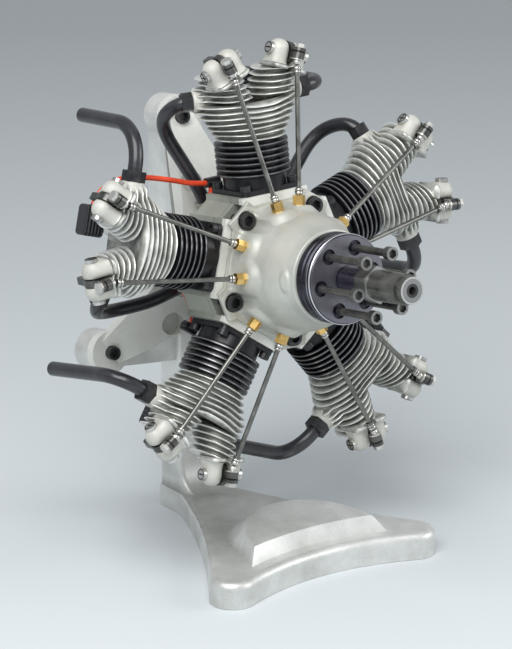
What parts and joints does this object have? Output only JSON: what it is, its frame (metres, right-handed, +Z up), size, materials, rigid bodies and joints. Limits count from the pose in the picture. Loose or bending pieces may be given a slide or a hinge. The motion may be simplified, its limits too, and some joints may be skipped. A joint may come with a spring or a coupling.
{
  "type": "radial aircraft engine",
  "caption": "Air-cooled radial piston engine for a large model aircraft, with open pushrods, finned heads, prop driver and a cast display stand.",
  "frame": {"origin": "centre of the stand underside below the crank axis at the front joint plane", "axes": "+Z up, the propeller shaft points to -Y and 10 degrees up, +X to the right hand of a viewer who faces the propeller"},
  "size_m": [0.2318, 0.2153, 0.2713],
  "materials": {
    "stand_casting": "grainy sand casting",
    "blasted_casting": "bead blasted",
    "case_casting": "bead blasted",
    "head_casting": "cast with bright fin edges",
    "black_barrel": "satin black with bright fin edges",
    "black_steel": "black oxide",
    "black_pipe": "satin black",
    "blued_steel": "blue black oxide, oiled",
    "rod_steel": "drawn",
    "rocker_steel": "gunmetal",
    "bright_steel": "nickel",
    "piston_alloy": "turned",
    "brass": "turned",
    "cap_rubber": "moulded",
    "red_lead": "smooth"
  },
  "bodies": {
    "engine": {"stand": "stand_casting", "engine_mount": "blasted_casting", "engine_screws": "black_steel", "crankcase": "case_casting", "front_cover": "case_casting", "rear_cover": "case_casting", "main_bearings": "bright_steel", "cylinder_barrels": "black_barrel", "barrel_screws": "black_steel", "cylinder_heads": "head_casting", "pipe_nuts": "black_steel", "inlet_pipes": "black_pipe", "exhaust_pipes": "black_pipe", "tappet_guides": "brass", "rocker_pins": "bright_steel", "carburettor": "case_casting", "glow_plugs": "bright_steel", "plug_caps": "cap_rubber", "lead_connectors": "cap_rubber", "glow_lead": "red_lead"},
    "crank": {"crankshaft": "rod_steel", "prop_driver": "blued_steel", "prop_bolts": "blued_steel", "prop_nut": "blued_steel"},
    "throttle": {"throttle_barrel": "brass"},
    "inlet_rocker_1": {"inlet_rocker_1": "rocker_steel"},
    "inlet_pushrod_1": {"inlet_pushrod_1": "rod_steel"},
    "inlet_valve_1": {"inlet_valve_1": "bright_steel"},
    "exhaust_rocker_1": {"exhaust_rocker_1": "rocker_steel"},
    "exhaust_pushrod_1": {"exhaust_pushrod_1": "rod_steel"},
    "exhaust_valve_1": {"exhaust_valve_1": "bright_steel"},
    "piston_1": {"piston_1": "piston_alloy"},
    "inlet_rocker_2": {"inlet_rocker_2": "rocker_steel"},
    "inlet_pushrod_2": {"inlet_pushrod_2": "rod_steel"},
    "inlet_valve_2": {"inlet_valve_2": "bright_steel"},
    "exhaust_rocker_2": {"exhaust_rocker_2": "rocker_steel"},
    "exhaust_pushrod_2": {"exhaust_pushrod_2": "rod_steel"},
    "exhaust_valve_2": {"exhaust_valve_2": "bright_steel"},
    "piston_2": {"piston_2": "piston_alloy"},
    "inlet_rocker_3": {"inlet_rocker_3": "rocker_steel"},
    "inlet_pushrod_3": {"inlet_pushrod_3": "rod_steel"},
    "inlet_valve_3": {"inlet_valve_3": "bright_steel"},
    "exhaust_rocker_3": {"exhaust_rocker_3": "rocker_steel"},
    "exhaust_pushrod_3": {"exhaust_pushrod_3": "rod_steel"},
    "exhaust_valve_3": {"exhaust_valve_3": "bright_steel"},
    "piston_3": {"piston_3": "piston_alloy"},
    "inlet_rocker_4": {"inlet_rocker_4": "rocker_steel"},
    "inlet_pushrod_4": {"inlet_pushrod_4": "rod_steel"},
    "inlet_valve_4": {"inlet_valve_4": "bright_steel"},
    "exhaust_rocker_4": {"exhaust_rocker_4": "rocker_steel"},
    "exhaust_pushrod_4": {"exhaust_pushrod_4": "rod_steel"},
    "exhaust_valve_4": {"exhaust_valve_4": "bright_steel"},
    "piston_4": {"piston_4": "piston_alloy"},
    "inlet_rocker_5": {"inlet_rocker_5": "rocker_steel"},
    "inlet_pushrod_5": {"inlet_pushrod_5": "rod_steel"},
    "inlet_valve_5": {"inlet_valve_5": "bright_steel"},
    "exhaust_rocker_5": {"exhaust_rocker_5": "rocker_steel"},
    "exhaust_pushrod_5": {"exhaust_pushrod_5": "rod_steel"},
    "exhaust_valve_5": {"exhaust_valve_5": "bright_steel"},
    "piston_5": {"piston_5": "piston_alloy"}
  },
  "joints": [
    {"name": "crank_spin", "type": "hinge", "parent": "engine", "child": "crank", "pos_m": [0, -0.04284, 0.16555], "axis": [0, -0.9848, 0.1736], "continuous": true},
    {"name": "throttle_turn", "type": "hinge", "parent": "engine", "child": "throttle", "pos_m": [0, 0.065, 0.14654], "axis": [-1, 0, 0], "range_deg": [0, 70]},
    {"name": "inlet_rocker_1_tilt", "type": "hinge", "parent": "engine", "child": "inlet_rocker_1", "pos_m": [-0.02045, 0.02665, 0.26307], "axis": [-0.9178, -0.069, -0.3911], "range_deg": [0, 15], "stiffness_Nm_per_rad": 0.05, "springref_deg": -17.19},
    {"name": "inlet_pushrod_1_slide", "type": "slide", "parent": "engine", "child": "inlet_pushrod_1", "axis": [-0.1636, 0.3127, 0.9356], "range_m": [0, 0.00211]},
    {"name": "inlet_valve_1_slide", "type": "slide", "parent": "engine", "child": "inlet_valve_1", "axis": [0.3971, -0.1594, -0.9038], "range_m": [0, 0.0027]},
    {"name": "exhaust_rocker_1_tilt", "type": "hinge", "parent": "engine", "child": "exhaust_rocker_1", "pos_m": [0.02045, 0.02665, 0.26307], "axis": [-0.9178, 0.069, 0.3911], "range_deg": [0, 15], "stiffness_Nm_per_rad": 0.05, "springref_deg": -17.19},
    {"name": "exhaust_pushrod_1_slide", "type": "slide", "parent": "engine", "child": "exhaust_pushrod_1", "axis": [0.1648, 0.2561, 0.9525], "range_m": [0, 0.00217]},
    {"name": "exhaust_valve_1_slide", "type": "slide", "parent": "engine", "child": "exhaust_valve_1", "axis": [-0.3971, -0.1594, -0.9038], "range_m": [0, 0.0027]},
    {"name": "piston_1_slide", "type": "slide", "parent": "engine", "child": "piston_1", "axis": [0, 0.1736, 0.9848], "range_m": [-0.02, 0]},
    {"name": "inlet_rocker_2_tilt", "type": "hinge", "parent": "engine", "child": "inlet_rocker_2", "pos_m": [-0.10913, 0.0103, 0.17035], "axis": [0.0941, -0.1729, -0.9804], "range_deg": [0, 15], "stiffness_Nm_per_rad": 0.05, "springref_deg": -17.19},
    {"name": "inlet_pushrod_2_slide", "type": "slide", "parent": "engine", "child": "inlet_pushrod_2", "axis": [-0.9785, 0.1686, 0.1184], "range_m": [0, 0.00211]},
    {"name": "inlet_valve_2_slide", "type": "slide", "parent": "engine", "child": "inlet_valve_2", "axis": [0.9956, 0.0163, 0.0927], "range_m": [0, 0.0027]},
    {"name": "exhaust_rocker_2_tilt", "type": "hinge", "parent": "engine", "child": "exhaust_rocker_2", "pos_m": [-0.09649, 0.01706, 0.20866], "axis": [-0.6613, -0.1303, -0.7387], "range_deg": [0, 15], "stiffness_Nm_per_rad": 0.05, "springref_deg": -17.19},
    {"name": "exhaust_pushrod_2_slide", "type": "slide", "parent": "engine", "child": "exhaust_pushrod_2", "axis": [-0.8835, 0.1654, 0.4383], "range_m": [0, 0.00217]},
    {"name": "exhaust_valve_2_slide", "type": "slide", "parent": "engine", "child": "exhaust_valve_2", "axis": [0.7501, -0.1148, -0.6513], "range_m": [0, 0.0027]},
    {"name": "piston_2_slide", "type": "slide", "parent": "engine", "child": "piston_2", "axis": [-0.9511, 0.0537, 0.3043], "range_m": [-0.01188, 0.00812]},
    {"name": "inlet_rocker_3_tilt", "type": "hinge", "parent": "engine", "child": "inlet_rocker_3", "pos_m": [-0.047, -0.0094, 0.05865], "axis": [0.9759, -0.0379, -0.2148], "range_deg": [0, 15], "stiffness_Nm_per_rad": 0.05, "springref_deg": -17.19},
    {"name": "inlet_pushrod_3_slide", "type": "slide", "parent": "engine", "child": "inlet_pushrod_3", "axis": [-0.4411, -0.0105, -0.8974], "range_m": [0, 0.00211]},
    {"name": "inlet_valve_3_slide", "type": "slide", "parent": "engine", "child": "inlet_valve_3", "axis": [0.2181, 0.1695, 0.9611], "range_m": [0, 0.0027]},
    {"name": "exhaust_rocker_3_tilt", "type": "hinge", "parent": "engine", "child": "exhaust_rocker_3", "pos_m": [-0.08008, -0.00522, 0.08232], "axis": [0.509, -0.1495, -0.8477], "range_deg": [0, 15], "stiffness_Nm_per_rad": 0.05, "springref_deg": -17.19},
    {"name": "exhaust_pushrod_3_slide", "type": "slide", "parent": "engine", "child": "exhaust_pushrod_3", "axis": [-0.7108, -0.0358, -0.7025], "range_m": [0, 0.00217]},
    {"name": "exhaust_valve_3_slide", "type": "slide", "parent": "engine", "child": "exhaust_valve_3", "axis": [0.8607, 0.0884, 0.5013], "range_m": [0, 0.0027]},
    {"name": "piston_3_slide", "type": "slide", "parent": "engine", "child": "piston_3", "axis": [-0.5878, -0.1405, -0.7967], "range_m": [-0.00145, 0.01855]},
    {"name": "inlet_rocker_4_tilt", "type": "hinge", "parent": "engine", "child": "inlet_rocker_4", "pos_m": [0.08008, -0.00522, 0.08232], "axis": [0.509, 0.1495, 0.8477], "range_deg": [0, 15], "stiffness_Nm_per_rad": 0.05, "springref_deg": -17.19},
    {"name": "inlet_pushrod_4_slide", "type": "slide", "parent": "engine", "child": "inlet_pushrod_4", "axis": [0.7059, 0.0229, -0.7079], "range_m": [0, 0.00211]},
    {"name": "inlet_valve_4_slide", "type": "slide", "parent": "engine", "child": "inlet_valve_4", "axis": [-0.8607, 0.0884, 0.5013], "range_m": [0, 0.0027]},
    {"name": "exhaust_rocker_4_tilt", "type": "hinge", "parent": "engine", "child": "exhaust_rocker_4", "pos_m": [0.047, -0.0094, 0.05865], "axis": [0.9759, 0.0379, 0.2148], "range_deg": [0, 15], "stiffness_Nm_per_rad": 0.05, "springref_deg": -17.19},
    {"name": "exhaust_pushrod_4_slide", "type": "slide", "parent": "engine", "child": "exhaust_pushrod_4", "axis": [0.4442, -0.0694, -0.8932], "range_m": [0, 0.00217]},
    {"name": "exhaust_valve_4_slide", "type": "slide", "parent": "engine", "child": "exhaust_valve_4", "axis": [-0.2181, 0.1695, 0.9611], "range_m": [0, 0.0027]},
    {"name": "piston_4_slide", "type": "slide", "parent": "engine", "child": "piston_4", "axis": [0.5878, -0.1405, -0.7967], "range_m": [-0.00145, 0.01855]},
    {"name": "inlet_rocker_5_tilt", "type": "hinge", "parent": "engine", "child": "inlet_rocker_5", "pos_m": [0.09649, 0.01706, 0.20866], "axis": [-0.6613, 0.1303, 0.7387], "range_deg": [0, 15], "stiffness_Nm_per_rad": 0.05, "springref_deg": -17.19},
    {"name": "inlet_pushrod_5_slide", "type": "slide", "parent": "engine", "child": "inlet_pushrod_5", "axis": [0.8774, 0.2227, 0.4249], "range_m": [0, 0.00211]},
    {"name": "inlet_valve_5_slide", "type": "slide", "parent": "engine", "child": "inlet_valve_5", "axis": [-0.7501, -0.1148, -0.6513], "range_m": [0, 0.0027]},
    {"name": "exhaust_rocker_5_tilt", "type": "hinge", "parent": "engine", "child": "exhaust_rocker_5", "pos_m": [0.10913, 0.0103, 0.17035], "axis": [0.0941, 0.1729, 0.9804], "range_deg": [0, 15], "stiffness_Nm_per_rad": 0.05, "springref_deg": -17.19},
    {"name": "exhaust_pushrod_5_slide", "type": "slide", "parent": "engine", "child": "exhaust_pushrod_5", "axis": [0.9853, 0.111, 0.1296], "range_m": [0, 0.00217]},
    {"name": "exhaust_valve_5_slide", "type": "slide", "parent": "engine", "child": "exhaust_valve_5", "axis": [-0.9956, 0.0163, 0.0927], "range_m": [0, 0.0027]},
    {"name": "piston_5_slide", "type": "slide", "parent": "engine", "child": "piston_5", "axis": [0.9511, 0.0537, 0.3043], "range_m": [-0.01188, 0.00812]}
  ],
  "couplings": [
    {"joint": "inlet_rocker_1_tilt", "follows": "inlet_pushrod_1_slide", "rad_per_m": 111.44},
    {"joint": "inlet_valve_1_slide", "follows": "inlet_pushrod_1_slide", "ratio": 1.1479},
    {"joint": "exhaust_rocker_1_tilt", "follows": "exhaust_pushrod_1_slide", "rad_per_m": 108.48},
    {"joint": "exhaust_valve_1_slide", "follows": "exhaust_pushrod_1_slide", "ratio": 1.1174},
    {"joint": "inlet_rocker_2_tilt", "follows": "inlet_pushrod_2_slide", "rad_per_m": 111.44},
    {"joint": "inlet_valve_2_slide", "follows": "inlet_pushrod_2_slide", "ratio": 1.1479},
    {"joint": "exhaust_rocker_2_tilt", "follows": "exhaust_pushrod_2_slide", "rad_per_m": 108.48},
    {"joint": "exhaust_valve_2_slide", "follows": "exhaust_pushrod_2_slide", "ratio": 1.1174},
    {"joint": "inlet_rocker_3_tilt", "follows": "inlet_pushrod_3_slide", "rad_per_m": 111.44},
    {"joint": "inlet_valve_3_slide", "follows": "inlet_pushrod_3_slide", "ratio": 1.1479},
    {"joint": "exhaust_rocker_3_tilt", "follows": "exhaust_pushrod_3_slide", "rad_per_m": 108.48},
    {"joint": "exhaust_valve_3_slide", "follows": "exhaust_pushrod_3_slide", "ratio": 1.1174},
    {"joint": "inlet_rocker_4_tilt", "follows": "inlet_pushrod_4_slide", "rad_per_m": 111.44},
    {"joint": "inlet_valve_4_slide", "follows": "inlet_pushrod_4_slide", "ratio": 1.1479},
    {"joint": "exhaust_rocker_4_tilt", "follows": "exhaust_pushrod_4_slide", "rad_per_m": 108.48},
    {"joint": "exhaust_valve_4_slide", "follows": "exhaust_pushrod_4_slide", "ratio": 1.1174},
    {"joint": "inlet_rocker_5_tilt", "follows": "inlet_pushrod_5_slide", "rad_per_m": 111.44},
    {"joint": "inlet_valve_5_slide", "follows": "inlet_pushrod_5_slide", "ratio": 1.1479},
    {"joint": "exhaust_rocker_5_tilt", "follows": "exhaust_pushrod_5_slide", "rad_per_m": 108.48},
    {"joint": "exhaust_valve_5_slide", "follows": "exhaust_pushrod_5_slide", "ratio": 1.1174}
  ]
}
